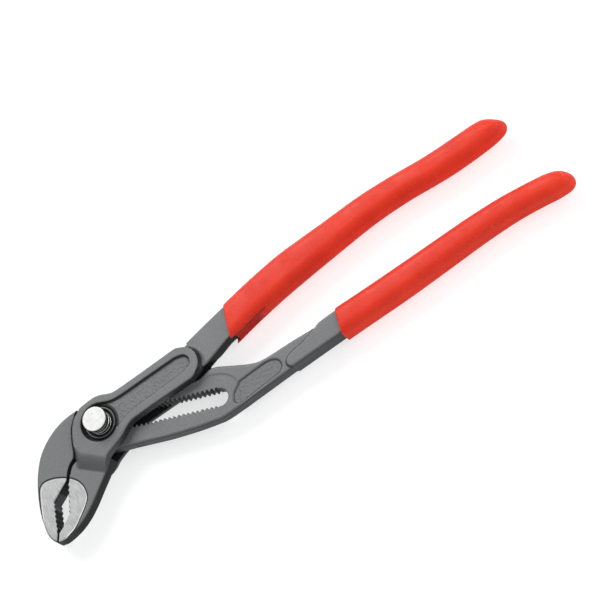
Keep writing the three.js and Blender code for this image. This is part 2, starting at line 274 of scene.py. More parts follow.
def sample(plane, where):
    """Values of a 2-D field at the points of a surface net."""
    i, j = (np.clip(where[:, n].astype(int), 0, plane.shape[n] - 2) for n in (0, 1))
    u, v = where[:, 0] - i, where[:, 1] - j
    near = plane[i, j] * (1 - v) + plane[i, j + 1] * v
    far = plane[i + 1, j] * (1 - v) + plane[i + 1, j + 1] * v
    return near * (1 - u) + far * u


# ---------------------------------------------------------------- objects
def add_piece(name, points, faces, material, body, node=None):
    """A smooth-shaded mesh from points counted from the mid-plane in millimetres."""
    mesh = bpy.data.meshes.new(name)
    mesh.from_pydata((np.asarray(points) + (0, 0, MID_Z)) * MM, [], faces)
    mesh.update()
    mesh.shade_smooth()
    mesh.materials.append(material)
    piece = bpy.data.objects.new(name, mesh)
    bpy.context.scene.collection.objects.link(piece)
    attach(piece, body)
    if node:
        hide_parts(node)
    return piece


def add_attribute(piece, name, values):
    """One number for each point of a piece, which its material reads."""
    layer = piece.data.attributes.new(name, "FLOAT", "POINT")
    layer.data.foreach_set("value", np.asarray(values, np.float32))


def held(profile, gap=0.05):
    """A profile with extra points close to the ends of its long edges, which keep their shading flat."""
    points = []
    for (r0, z0), (r1, z1) in zip(profile, profile[1:]):
        points.append((r0, z0))
        length = math.hypot(r1 - r0, z1 - z0)
        if length > 4 * gap:
            for t in (gap / length, 1 - gap / length):
                points.append((r0 + (r1 - r0) * t, z0 + (z1 - z0) * t))
    return points + [profile[-1]]


def turned(name, profile, material, body, node=None, segments=96):
    """A solid turned on the pivot axis from (radius, height) pairs that start and end on the axis, or a
    closed ring if they don't."""
    closed = profile[0][0] > 0
    ring = held(profile + profile[:1])[:-1] if closed else held(profile)
    mesh = bmesh.new()
    angles = [2 * math.pi * n / segments for n in range(segments)]
    rows = []
    for r, z in ring:
        if r == 0:
            rows.append([mesh.verts.new((0, 0, z))] * segments)
        else:
            rows.append([mesh.verts.new((r * math.cos(a), r * math.sin(a), z)) for a in angles])
    pairs = list(zip(rows, rows[1:] + rows[:1])) if closed else list(zip(rows, rows[1:]))
    for low, high in pairs:
        for n in range(segments):
            m = (n + 1) % segments
            corners = [low[n], low[m], high[m], high[n]]
            mesh.faces.new(list(dict.fromkeys(corners)))
    bmesh.ops.recalc_face_normals(mesh, faces=mesh.faces)
    mesh.verts.index_update()
    points = [tuple(v.co) for v in mesh.verts]
    faces = [[v.index for v in f.verts] for f in mesh.faces]
    mesh.free()
    return add_piece(name, points, faces, material, body, node)


def softened(corners, radius, steps=4):
    """A profile with its corners rounded by arc-like curves, except for its first and last points."""
    points = []
    for n, (r, z) in enumerate(corners):
        if n in (0, len(corners) - 1):
            points.append((r, z))
            continue
        here = Vector((r, z))
        before, after = Vector(corners[n - 1]), Vector(corners[n + 1])
        back = here + (before - here).normalized() * min(radius, (before - here).length / 2)
        ahead = here + (after - here).normalized() * min(radius, (after - here).length / 2)
        for s in range(steps + 1):
            t = s / steps
            points.append(tuple(back * (1 - t) ** 2 + here * 2 * t * (1 - t) + ahead * t**2))
    return points


# ---------------------------------------------------------------- materials
class Nodes:
    """A material's node tree with short calls for the nodes used here."""

    def __init__(self, name):
        self.material = bpy.data.materials.new(name)
        self.material.use_nodes = True
        self.tree = self.material.node_tree
        self.shader = self.tree.nodes["Principled BSDF"]
        self.place = self.add("ShaderNodeTexCoord").outputs["Object"]

    def add(self, kind, **settings):
        node = self.tree.nodes.new(kind)
        for key, value in settings.items():
            setattr(node, key, value)
        return node

    def join(self, source, socket):
        if hasattr(source, "node"):
            self.tree.links.new(source, socket)
        elif hasattr(socket.default_value, "__len__") and not isinstance(source, (tuple, list)):
            socket.default_value = (source,) * len(socket.default_value)
        else:
            socket.default_value = source

    def noise(self, size, detail=3, stretch=(1, 1, 1), roughness=0.55):
        """Noise whose features are about size millimetres across."""
        mapping = self.add("ShaderNodeMapping")
        mapping.inputs["Scale"].default_value = [s / (size * MM) for s in stretch]
        self.join(self.place, mapping.inputs["Vector"])
        noise = self.add("ShaderNodeTexNoise")
        noise.inputs["Scale"].default_value = 1
        noise.inputs["Detail"].default_value = detail
        noise.inputs["Roughness"].default_value = roughness
        self.join(mapping.outputs[0], noise.inputs["Vector"])
        return noise.outputs["Fac"]

    def ranged(self, value, low, high, to_low=0, to_high=1):
        """A value carried smoothly from one range to another."""
        node = self.add("ShaderNodeMapRange", interpolation_type="SMOOTHSTEP")
        for name, entry in (("Value", value), ("From Min", low), ("From Max", high),
                            ("To Min", to_low), ("To Max", to_high)):
            self.join(entry, node.inputs[name])
        return node.outputs["Result"]

    def math(self, operation, a, b):
        node = self.add("ShaderNodeMath", operation=operation)
        self.join(a, node.inputs[0])
        self.join(b, node.inputs[1])
        return node.outputs[0]

    def mix(self, factor, a, b):
        """Mix of two colours given as linear RGB tuples or sockets."""
        node = self.add("ShaderNodeMix", data_type="RGBA")
        self.join(factor, node.inputs["Factor"])
        for entry, socket in ((a, node.inputs[6]), (b, node.inputs[7])):
            self.join((*entry, 1) if isinstance(entry, tuple) else entry, socket)
        return node.outputs[2]

    def attribute(self, name):
        return self.add("ShaderNodeAttribute", attribute_name=name).outputs["Fac"]

    def pointiness(self):
        return self.add("ShaderNodeNewGeometry").outputs["Pointiness"]

    def facing_up(self):
        """1 on faces square to the pivot axis, 0 on the sides."""
        split = self.add("ShaderNodeSeparateXYZ")
        self.join(self.add("ShaderNodeNewGeometry").outputs["Normal"], split.inputs[0])
        return self.math("ABSOLUTE", split.outputs["Z"], 0)

    def bump(self, height, distance, strength=1.0, under=None):
        node = self.add("ShaderNodeBump")
        self.join(strength, node.inputs["Strength"])
        node.inputs["Distance"].default_value = distance * MM
        self.join(height, node.inputs["Height"])
        if under:
            self.join(under, node.inputs["Normal"])
        return node.outputs["Normal"]

    def finish(self, **inputs):
        for name, value in inputs.items():
            socket = self.shader.inputs[name.replace("_", " ")]
            self.join((*value, 1) if isinstance(value, tuple) and len(value) == 3 else value, socket)
        return self.material


PAINTED_SHADE = (0.020, 0.021, 0.022)  # colour of the painted shade in the creases and on the border round the ground faces


def ground_finish(n, from_edge):
    """Streaky grinding of the jaw faces, brighter along their rim."""
    streaks = n.noise(0.5, detail=3, stretch=(1, 0.16, 1))
    bright = n.mix(n.ranged(streaks, 0.3, 0.7), (0.32, 0.32, 0.32), (0.44, 0.44, 0.435))
    rim = n.math("MULTIPLY", n.ranged(from_edge, -0.6, -0.3), n.ranged(from_edge, -0.25, -0.1, 1, 0))
    return n.mix(n.math("MULTIPLY", rim, 0.8), bright, (0.80, 0.80, 0.80))


def forged_relief(n):
    """Normal of the forging: fine pits, stippled panels and a soft unevenness."""
    pits = n.bump(n.noise(0.35, detail=2), 0.02, 0.55)
    stipple = n.bump(n.noise(0.9, detail=1), 0.14, n.ranged(n.attribute("panel"), 0, 1, 0, 0.9), under=pits)
    return n.bump(n.noise(3.5, detail=2), 0.025, 0.5, under=stipple)


def forged_steel():
    """Grey phosphated forging, with bright ground faces on the jaws, painted highlights on the edges and
    painted shade on the sides.
    """
    n = Nodes("forged_steel")
    mottling = n.noise(9, detail=4)
    grain = n.noise(0.7, detail=2)
    base = n.mix(n.ranged(mottling, 0.3, 0.7), (0.122, 0.124, 0.125), (0.142, 0.144, 0.144))
    base = n.mix(n.ranged(grain, 0.35, 0.65, 0, 0.3), base, (0.19, 0.192, 0.192))
    upward = n.facing_up()
    # painted shade: the sides are painted darker than the faces
    base = n.mix(n.ranged(upward, 0.3, 0.95), (0.022, 0.028, 0.029), base)
    spots = n.math("MULTIPLY", n.attribute("panel"), n.ranged(n.noise(0.9, detail=1), 0.45, 0.6, 0, 0.35))
    base = n.mix(spots, base, (0.06, 0.062, 0.063))
    # painted shade at the foot of steps, in the creases
    base = n.mix(n.ranged(n.attribute("crease_shade"), 0, 1, 0, 0.75), base, PAINTED_SHADE)
    shaded = n.attribute("shaded")
    base = n.mix(n.ranged(shaded, 0, 1, 0, 0.94), base, (0.010, 0.011, 0.011))
    # painted highlight: sharp edges are lighter, except in the painted shade and on the sides
    edge_highlight = n.math("MULTIPLY", n.ranged(n.pointiness(), 0.51, 0.58, 0, 0.6), n.ranged(shaded, 0, 0.5, 1, 0))
    edge_highlight = n.math("MULTIPLY", edge_highlight, n.ranged(upward, 0.05, 0.3))
    base = n.mix(edge_highlight, base, (0.33, 0.33, 0.325))
    from_edge = n.attribute("ground")
    # painted shade along the step round the ground faces
    step_shade = n.math("MULTIPLY", n.ranged(from_edge, -0.1, 0.1), n.ranged(from_edge, 0.42, 0.62, 1, 0))
    base = n.mix(step_shade, base, PAINTED_SHADE)
    ground = n.math("MULTIPLY", n.ranged(from_edge, -0.12, 0.06, 1, 0), n.ranged(upward, 0.75, 0.95))
    colour = n.mix(ground, base, ground_finish(n, from_edge))
    roughness = n.ranged(ground, 0, 1, n.ranged(mottling, 0.3, 0.7, 0.46, 0.56), 0.44)
    return n.finish(Base_Color=colour, Roughness=roughness, Metallic=n.ranged(shaded, 0, 1, 0.3, 0),
                    Specular_IOR_Level=n.ranged(shaded, 0, 1, 0.5, 0.1), Normal=forged_relief(n))


def dark_steel():
    """Blackened, oiled steel of the bolt, cup and spring."""
    n = Nodes("dark_steel")
    tone = n.ranged(n.noise(1.5, detail=3), 0.3, 0.7)
    colour = n.mix(tone, (0.030, 0.033, 0.034), (0.065, 0.068, 0.068))
    colour = n.mix(n.ranged(n.pointiness(), 0.53, 0.62, 0, 0.5), colour, (0.35, 0.35, 0.34))
    roughness = n.ranged(tone, 0, 1, 0.28, 0.42)
    return n.finish(Base_Color=colour, Roughness=roughness, Metallic=0.85, Normal=n.bump(tone, 0.01, 0.5))


def wire_steel():
    """Shiny drawn wire of the button spring."""
    n = Nodes("wire_steel")
    tone = n.ranged(n.noise(1.2, detail=2), 0.3, 0.7)
    colour = n.mix(tone, (0.34, 0.34, 0.335), (0.62, 0.62, 0.61))
    return n.finish(Base_Color=colour, Roughness=0.22, Metallic=0.9, Normal=n.bump(tone, 0.005, 0.5))


def bright_steel():
    """Turned and polished face of the push button."""
    n = Nodes("bright_steel")
    rings = n.add("ShaderNodeTexWave", wave_type="RINGS", rings_direction="Z")
    rings.inputs["Scale"].default_value = 900
    rings.inputs["Distortion"].default_value = 0.6
    n.join(n.place, rings.inputs["Vector"])
    cloud = n.noise(2.2, detail=3)
    colour = n.mix(n.ranged(cloud, 0.3, 0.7), (0.50, 0.495, 0.485), (0.66, 0.655, 0.645))
    # painted shade: the button's side is darker than its face
    colour = n.mix(n.ranged(n.facing_up(), 0.5, 0.9), (0.05, 0.055, 0.053), colour)
    roughness = n.ranged(cloud, 0.3, 0.7, 0.36, 0.48)
    normal = n.bump(rings.outputs["Fac"], 0.004, 0.35)
    return n.finish(Base_Color=colour, Roughness=roughness, Metallic=0.4, Normal=normal)


def red_plastic():
    """Matte red dipped coating with a fine leathery grain."""
    n = Nodes("red_plastic")
    groove_shade = n.attribute("groove")
    cloud = n.noise(14, detail=3)
    colour = n.mix(n.ranged(cloud, 0.3, 0.7), (0.66, 0.022, 0.006), (0.74, 0.030, 0.008))
    grain = n.noise(0.55, detail=3, roughness=0.65)
    colour = n.mix(n.ranged(grain, 0.4, 0.65, 0, 0.35), colour, (0.80, 0.055, 0.020))
    # painted shade: the groove's floor is painted dark red
    colour = n.mix(n.math("MULTIPLY", groove_shade, 0.7), colour, (0.30, 0.006, 0.006))
    # painted highlight: a light pinkish line along the sharp edges, such as the groove's lip
    colour = n.mix(n.ranged(n.pointiness(), 0.515, 0.57, 0, 0.5), colour, (0.85, 0.18, 0.15))
    # painted shade: the grips darken towards their silhouettes
    silhouette_shade = n.ranged(n.add("ShaderNodeLayerWeight").outputs["Facing"], 0.6, 0.95, 0, 0.8)
    colour = n.mix(silhouette_shade, colour, (0.22, 0.012, 0.012))
    roughness = n.ranged(n.noise(6, detail=2), 0.3, 0.7, 0.42, 0.54)
    fine = n.bump(grain, 0.05, 0.6)
    normal = n.bump(n.noise(5, detail=2), 0.12, 0.35, under=fine)
    return n.finish(Base_Color=colour, Roughness=roughness, Normal=normal,
                    Specular_IOR_Level=n.ranged(n.facing_up(), 0, 0.5, 0.05, 0.28))


FORGED, DARK, WIRE = forged_steel(), dark_steel(), wire_steel()
BRIGHT, RED = bright_steel(), red_plastic()


# ---------------------------------------------------------------- levers
BEND_FOOT = -27.0  # the cheeks rise from the jaws at this value of x + y
BEND_LENGTH = 8.5
BEND_SLOPE = 1.25  # steepness of the bend at its foot
BEND_CORNER = 6.0  # how far the foot curves up where it meets the inner jaw
BEND_CORNER_WIDTH = 4.2
CHEEK_END = (40.5, -2.0)  # centre of the round end of the cheeks
CHEEK_END_RADIUS = 7.0
END_START = 1.5  # the wall of the round end leaves the rim this far past its centre
END_START_WIDTH = 3.0
END_WALL = 0.5  # width of the steep upper part of the wall at the round end
END_FILLET = 1.8  # width of the fillet at its foot
FILLET_SHARE = 0.45  # part of the wall's height that the fillet takes up
RECESS_FLOOR = 4.5
RECESS_RADIUS = 6.9
RECESS_RIM = 8.1
RIM_SLOPE = 1.2  # radius lost for each millimetre of depth in the rim's chamfer
RIM_DEPTH = 1.5
RECESS_EDGE = 0.15  # rounding of the recess's edges
RECESS_SHADE = 0.75  # darkness of the recess round the button
STEM_BORE = 3.5  # outline points nearer the pivot axis than this are on the bore of the stem
REAR_BORE = 6.32
BORE_EDGE = 0.3  # rounding of the rear bore's edge
WINDOW_EDGE = 0.2  # rounding of the window's edges
WINDOW_CLEAR = 0.4  # the outer lever's outline is read this far above the window
PANEL_WALL = 0.8  # width of the sloping walls of sunk panels
PANEL_MARGIN = 5.0  # the cheek panel ends within this distance past the centre of the round end
CHEEK_PANEL_DEPTH = 1.2
CHEEK_PANEL_LEVELS = (0.4, 1.9)  # depths of the sections above and below the cheek panel's floor
PLATE_PANEL_DEPTH = 0.5
PLATE_PANEL_LEVEL = 0.25  # depth of the section between the neck's face and its panel's floor
JAW_STEP_LEVEL = 0.5  # height above the neck's face of the section through the inner jaw's step
JAW_STEP = 1.0  # width of that step
NECK_STEP_DEPTH = 0.15
NECK_STEP_WIDTH = 0.6
GROUND_DEPTH = 0.3
GROUND_STEP = 0.35  # width of the step round the ground faces
SEAM = 0.27  # extra play between the jaws
SHOULDER_SEAM = 0.42  # and between the inner jaw and the front of the cheeks
RIM_MARGIN = 0.15  # height maps are read this far inside an outline and carried outwards from there
EDGE = 0.55  # rounding of the outer lever's front edges
WORKING_EDGE = 0.3  # rounding of the inner lever's edges at its working faces
SOFT_EDGE = 0.9  # rounding of its other, forged edges
BACK_EDGE = 3.0  # rounding of the outer lever's edges behind

# Edge of the ground faces of both jaws, as one loop that leaves the tool at the tip.
GROUND_FACES = [(-23.4, -9.5), (-21.6, -11.6), (-20.3, -14.1), (-19.8, -17.0), (-20.5, -20.7),
                (-22.6, -23.2), (-26.9, -26.2), (-31.6, -28.9), (-35.5, -29.8), (-40.5, -31.0),
                (-43.9, -28.5), (-43.6, -24.0), (-41.8, -19.6), (-39.4, -13.8), (-36.7, -8.1),
                (-34.9, -5.5), (-32.6, -4.7), (-29.6, -5.4), (-26.6, -7.0)]
THROAT_POINT = (-16.5, -6.0)  # a point on the line that runs between the toothed sides of the jaws
THROAT_NORMAL = (0.70, -0.72)
THROAT_HALF = 4.2  # the toothed sides lie within this distance of that line
THROAT_START = -15.0  # and left of this x
SLIT = [(-38.0, -25.6), (-40.45, -29.05)]  # where the jaws nearly touch at the tip
SLIT_START = -63.7  # value of x + y where the teeth end and the slit starts
SHOULDER = [(-5, 11.2), (-8.8, 8.9), (-12, 5.2), (-14.1, 0.4), (-15.8, -3), (-18, -5.2), (-21.5, -7.4)]
NECK_STEP = [(30, -5), (37.5, -9.3), (41.6, -10.8), (46.0, -11.4), (50.5, -13.8), (53.4, -17.0),
             (54.4, -21), (52, -27), (46, -33), (20, -33), (0, -18)]  # the neck is thinner inside this loop
SLOT_REACH = (-8, 56)  # where the adjusting slot starts and ends along its axis, with a margin
SLOT_HALF = 5  # its sides lie within this distance of the axis


def lever_grid(node):
    """Sample points round a lever: fine steps along the head and coarse ones along the shank."""
    low, high = node_box(node)
    head_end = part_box("inner_grip")[0][0] / MM
    fine = np.arange(low[0] - GRID_MARGIN * FINE, head_end, FINE)
    coarse = np.arange(fine[-1] + COARSE, high[0] + (GRID_MARGIN + 1) * COARSE, COARSE)
    return Grid(np.concatenate([fine, coarse]), low, high, FINE)


def crease_shade(edge, foot=0.3, half=0.22):
    """1 along the foot of a step, where shade is painted, from the distance to its edge."""
    return smooth_step(half - np.abs(edge - foot), 0.36)


def in_throat(points):
    """True for outline points on the toothed side of a jaw."""
    x, y = points.T
    off = THROAT_NORMAL[0] * (x - THROAT_POINT[0]) + THROAT_NORMAL[1] * (y - THROAT_POINT[1])
    return (x < THROAT_START) & (x + y > SLIT_START) & (np.abs(off) < THROAT_HALF)


def near_line(points, line, reach):
    """True for points within reach of a line of points."""
    line = np.array(line)
    line = np.stack([line[:-1], line[1:]], 1)
    return np.array([segment_gap(point, line) < reach for point in points])


def trimmed(grid, rim):
    """Signed distance to a lever's outline with play at the sides that meet the other lever, the distance
    to those sides, and the outline points on them."""
    middles = rim.mean(1)
    outline, nearest = grid.signed(rim), np.full(grid.x2.shape, BAND)
    working = np.zeros(len(rim), bool)
    for side, play in ((in_throat(middles), SEAM), (near_line(middles, SLIT, 0.4), 0),
                       (near_line(middles, SHOULDER, 1.0), SHOULDER_SEAM)):
        gap = grid.distance(rim[side])
        outline = np.maximum(outline, play - gap)
        nearest = np.minimum(nearest, gap)
        working |= side
    return outline, nearest, working


def along_slot(points):
    """True for outline points on the sides of the adjusting slot."""
    axis = joint("jaw_size")["axis"]
    along = -(points @ np.array(axis[:2]))
    off = points @ np.array((-axis[1], axis[0]))
    return (np.abs(off) < SLOT_HALF) & (along > SLOT_REACH[0]) & (along < SLOT_REACH[1])


def soft_distance(grid, outline, rim):
    """Signed distance to the part of an outline whose edges are rounded more."""
    return (np.where(outline < 0, -1, 1) * grid.distance(rim))[:, :, None]


def bend(grid, working):
    """How far the outer lever has risen from the jaw, 0, to the cheeks, 1."""
    foot = BEND_FOOT + BEND_CORNER * (1 - np.clip(working / BEND_CORNER_WIDTH, 0, 1)) ** 2
    t = np.clip((grid.x2 + grid.y2 - foot) / BEND_LENGTH, 0, 1)
    return BEND_SLOPE * t * (1 - t) ** 2 + t * t * (3 - 2 * t)


def cheek_end(grid):
    """Distance past the round end of the cheeks, and how much of their height is left there."""
    end = np.hypot(grid.x2 - CHEEK_END[0], grid.y2 - CHEEK_END[1]) - CHEEK_END_RADIUS
    end -= 1 - smooth_step(grid.x2 - CHEEK_END[0] - END_START, END_START_WIDTH)
    wall = FILLET_SHARE + (1 - FILLET_SHARE) * smooth_step(-end, END_WALL)
    wall *= (1 - np.clip(end / END_FILLET, 0, 1)) ** 2
    return end, np.where(grid.x2 > CHEEK_END[0], wall, 1)


def ground_step(grid):
    """Distance to the edge of the ground faces, and how much height the grinding took away."""
    ground = grid.signed(loop_segments(GROUND_FACES))
    return ground, GROUND_DEPTH * smooth_step(-ground, GROUND_STEP)


def button_recess(grid, radius):
    """The recess round the button, with its chamfered rim."""
    recess = np.maximum(radius - RECESS_RADIUS, RECESS_FLOOR - grid.z3)
    rim_cone = (radius - RECESS_RIM + RIM_SLOPE * (CHEEK_HALF - grid.z3)) / math.hypot(1, RIM_SLOPE)
    return np.minimum(recess, np.maximum(rim_cone, CHEEK_HALF - RIM_DEPTH - grid.z3))


def under_shank(grid, inside):
    """1 on the lower half of the outer shank, whose underside lies in shade."""
    middle = (grid.y2 * inside).sum(1) / np.maximum(inside.sum(1), 1)
    return (grid.y2 < middle[:, None]) * smooth_step(grid.x2 - CHEEK_END[0] - 4, 4)


def shared_marks(ground, sunk, height, working):
    """Fields that both levers carry on to their materials."""
    return {"ground": ground, "panel": sunk, "height": height, "walls": smooth_step(0.6 - working, 0.3)}


def outer_lever_solid(grid):
    """Lower jaw, both cheeks and upper shank as a sampled field, and the marks for the material."""
    rim = section("outer_lever", WINDOW_HALF + WINDOW_CLEAR)
    outline, working, is_working = trimmed(grid, rim)
    soft = rim[~is_working & (np.hypot(*rim.mean(1).T) > STEM_BORE)]
    soft_outline = soft_distance(grid, outline, soft)
    inside = outline < 0

    end, wall = cheek_end(grid)
    height = JAW_HALF + (CHEEK_HALF - JAW_HALF) * (bend(grid, working) * wall)
    above, below = (CHEEK_HALF - depth for depth in CHEEK_PANEL_LEVELS)
    panel = grid.step_edge("outer_lever", above, below)
    on_panel = (grid.x2 + grid.y2 > BEND_FOOT + 2 * BEND_LENGTH) & (grid.x2 < CHEEK_END[0] + PANEL_MARGIN)
    sunk = smooth_step(panel, PANEL_WALL) * on_panel
    height -= CHEEK_PANEL_DEPTH * sunk
    ground, ground_away = ground_step(grid)
    height = spread(height - ground_away, outline < -RIM_MARGIN)

    top, outline = level(grid, height), outline[:, :, None]
    back = np.where(grid.z3 < 0, top, -CHEEK_HALF)
    body = np.maximum(meet(outline, top, EDGE), meet(soft_outline, back, BACK_EDGE))
    blocks = grid.signed(section("outer_lever", 0.0))[:, :, None]
    window = np.maximum(-blocks, np.abs(grid.z3) - WINDOW_HALF)
    body = meet(body, -window, WINDOW_EDGE)
    radius = np.hypot(grid.x3, grid.y3)
    body = meet(body, -button_recess(grid, radius), RECESS_EDGE)
    body = meet(body, -np.maximum(radius - REAR_BORE, grid.z3), BORE_EDGE)

    marks = shared_marks(ground, sunk, height, working)
    # painted shade at the foot of the panel's wall and of the wall at the round end
    end_crease_shade = crease_shade(end, 0.25, 0.5) * (grid.x2 > CHEEK_END[0])
    marks["crease_shade"] = np.maximum(crease_shade(panel) * on_panel, end_crease_shade)
    marks["recess"] = RECESS_SHADE * smooth_step(RECESS_RIM - radius[:, :, 0], 0.3)
    marks["under"] = under_shank(grid, inside)
    marks["window"] = smooth_step(np.minimum(blocks, -outline)[:, :, 0] + 0.3, 0.3)
    return body, marks


def inner_lever_solid(grid):
    """Upper jaw, slotted neck and lower shank as a sampled field, and the marks for the material."""
    rim = section("inner_lever", 0.0)
    outline, working, is_working = trimmed(grid, rim)
    soft_outline = soft_distance(grid, outline, rim[~is_working & ~along_slot(rim.mean(1))])

    raised = grid.step_edge("inner_lever", PLATE_HALF + JAW_STEP_LEVEL, 0.0)
    height = PLATE_HALF + (JAW_HALF - PLATE_HALF) * smooth_step(-raised, JAW_STEP)
    panel = grid.step_edge("inner_lever", PLATE_HALF - PLATE_PANEL_LEVEL, 0.0)
    sunk = smooth_step(panel, PANEL_WALL) * (outline < 0)
    height -= PLATE_PANEL_DEPTH * sunk
    height -= NECK_STEP_DEPTH * smooth_step(-grid.signed(loop_segments(NECK_STEP)), NECK_STEP_WIDTH)
    ground, ground_away = ground_step(grid)
    height = spread(height - ground_away, outline < -RIM_MARGIN)

    top = level(grid, height)
    body = np.maximum(meet(outline[:, :, None], top, WORKING_EDGE), meet(soft_outline, top, SOFT_EDGE))
    marks = shared_marks(ground, sunk, height, working)
    # painted shade at the foot of the panel's wall and of the jaw's step
    marks["crease_shade"] = np.maximum(crease_shade(panel), crease_shade(raised))
    return body, marks


def lever_shade(marks, depth):
    """Darkness at a lever's points: between the jaws, in the window and recess, and under the shank."""
    shaded = marks["walls"] * (1 - smooth_step(depth - marks["height"] + 0.25, 0.3))
    if "window" in marks:
        shaded = np.maximum(shaded, marks["window"] * (depth < WINDOW_HALF + 0.15))
        shaded = np.maximum(shaded, marks["recess"])
        shaded = np.maximum(shaded, marks["under"] * (1 - smooth_step(depth - marks["height"] + 0.8, 0.5)))
    return shaded


def add_lever(name, solid, body):
    """A lever's mesh, with its marks as point attributes."""
    grid = lever_grid(name)
    field, marks = solid(grid)
    points, quads, where = surface_net(grid, field)
    marks = {mark: sample(plane, where) for mark, plane in marks.items()}
    lever = add_piece(name + "_forging", points, quads, FORGED, body, name)
    for mark in ("ground", "panel", "crease_shade"):
        add_attribute(lever, mark, marks[mark])
    add_attribute(lever, "shaded", lever_shade(marks, np.abs(points[:, 2])))


add_lever("outer_lever", outer_lever_solid, "outer_lever")
add_lever("inner_lever", inner_lever_solid, "inner_lever")


# ---------------------------------------------------------------- grips
GRIP_ROUND = 4.3  # rounding of the grips' long edges
NOSE_LENGTH = 16.0
GRIP_CROWN = 0.9  # how far the faces fall off towards the edges
CROWN_WIDTH = 7.0
CORNER_ROUND = 1.6  # rounding of the corners of the cut front
LIP_ROUND = 0.8  # rounding of the cut edge itself
GRIP_LEVEL = 4.8  # height of the section the grips' outlines are read from
GRIP_INSET = 0.35  # how much smaller that section is than the widest one
GROOVE_HALF = 3.2  # half width of the groove under the upper grip
GROOVE_LENGTH = 17.5
GROOVE_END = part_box("outer_grip")[0][0] / MM + GROOVE_LENGTH + 1
GROOVE_DEPTH = 1.5
GROOVE_FADE = 6.0  # the groove's floor rises over this length
GROOVE_TOP = 1.0  # the groove lies below this y
GROOVE_EDGE = 0.5  # rounding of its edges
NOTCH_LENGTH = 1.8  # the groove is cut through to the shank this far from the front
NOTCH_DEPTH = 3.0
NOTCH_FADE = 1.5
GRIP_STEP = 1.3 * FINE  # spacing of the grips' sampling grid
SIDE_PASSES = 160  # rounds of smoothing that take the CAD's facets out of the sides
NOSE_BLEND = 4.0  # length over which that smoothing fades out at the nose
FRONT_ZONE = 9.0  # the cut front lies within this distance of a grip's first point
RUN_ON = 15.0  # how far the sides are run on past it
SHANK_LEVEL = JAW_HALF - 0.4  # height of the section the hollows are read from
HOLLOW_EDGE = 0.5  # rounding of the hollows' long edges
HOLLOW_PLAY = 0.12  # gap between a hollow's walls and the shank


def smoothed(field, passes):
    """A 2-D field with its small wobbles averaged out."""
    for _ in range(passes):
        wide = np.pad(field, 1, mode="reflect", reflect_type="odd")
        beside = wide[:-2, 1:-1] + wide[2:, 1:-1] + wide[1:-1, :-2] + wide[1:-1, 2:]
        field = (beside + 4 * field) / 8
    return field


def grip_grid(node):
    low, high = node_box(node)
    return Grid(stations(low[0], high[0], GRIP_STEP), low, high, GRIP_STEP)


def split_front(rim):
    """The sides of a grip's outline, run on straight past its cut front, the edge that closes them there,
    and the two corners of the front."""
    run = np.abs(rim[:, 1] - rim[:, 0])
    front = (run[:, 1] > run[:, 0]) & (rim[:, :, 0].mean(1) < rim[:, :, 0].min() + FRONT_ZONE)
    ends = rim[front].reshape(-1, 2)
    corners = ends[ends[:, 1].argmax()], ends[ends[:, 1].argmin()]
    sides, ahead = rim[~front], []
    for corner in corners:
        gaps = np.abs(sides - corner).sum(2)
        last = sides[gaps.min(1).argmin()]
        run = corner - last[gaps[gaps.min(1).argmin()].argmax()]
        ahead.append(corner + run / np.linalg.norm(run) * RUN_ON)
    sides = np.concatenate([sides, np.stack([corners, ahead], 1)])
    return sides, np.array([ahead]), corners


def grip_solid(grid, node, lever):
    """A crowned sleeve round a shank, with a cut front and a round nose, and the distance to its sides."""
    sides, closing, (top_corner, foot) = split_front(section(node, GRIP_LEVEL))
    inside = grid.inside(np.concatenate([sides, closing]))
    side = np.where(inside, -1, 1) * grid.distance(sides) - GRIP_INSET
    in_nose = smooth_step(grid.x2 - grid.x[-1] + NOSE_LENGTH, NOSE_BLEND)
    side = smoothed(side, SIDE_PASSES) * (1 - in_nose) + side * in_nose  # the noses keep their small radii
    edge = (top_corner - foot) / np.linalg.norm(top_corner - foot)
    front = (grid.y2 - foot[1]) * edge[0] - (grid.x2 - foot[0]) * edge[1] - GRIP_INSET
    fall = GRIP_CROWN * (1 - np.clip(-side / CROWN_WIDTH, 0, 1)) ** 2
    top = np.abs(grid.z3) - GRIP_HALF + fall[:, :, None]
    outline = meet(side, front, CORNER_ROUND)[:, :, None]
    body = np.maximum(meet(side[:, :, None], top, GRIP_ROUND), meet(outline, top, LIP_ROUND))
    shank = grid.signed(section(lever, SHANK_LEVEL))[:, :, None]
    hollow = meet(shank, np.abs(grid.z3) - JAW_HALF, HOLLOW_EDGE) - HOLLOW_PLAY
    return np.maximum(body, -hollow), side[:, :, None]


def outer_grip_solid(grid):
    """The upper grip has a groove with a round end along its underside, cut through at the front."""
    body, side = grip_solid(grid, "outer_grip", "outer_lever")
    along = grid.x3 - grid.x[GRID_MARGIN]
    past_middle = np.maximum(along - GROOVE_LENGTH + GROOVE_HALF, 0)
    width = np.hypot(past_middle, grid.z3) - GROOVE_HALF
    depth = GROOVE_DEPTH * smooth_step(GROOVE_LENGTH - GROOVE_FADE / 2 - along, GROOVE_FADE)
    depth += NOTCH_DEPTH * smooth_step(NOTCH_LENGTH - along, NOTCH_FADE)
    groove = np.maximum(np.maximum(width, -side - depth), grid.y3 - GROOVE_TOP)
    # where the groove's floor gets painted shade
    mark = smooth_step(-side[:, :, 0] - GROOVE_EDGE, 0.6) * (grid.y2 < GROOVE_TOP)
    return meet(body, -groove, GROOVE_EDGE), mark


def inner_grip_solid(grid):
    """The lower grip has no groove."""
    return grip_solid(grid, "inner_grip", "inner_lever")[0], None


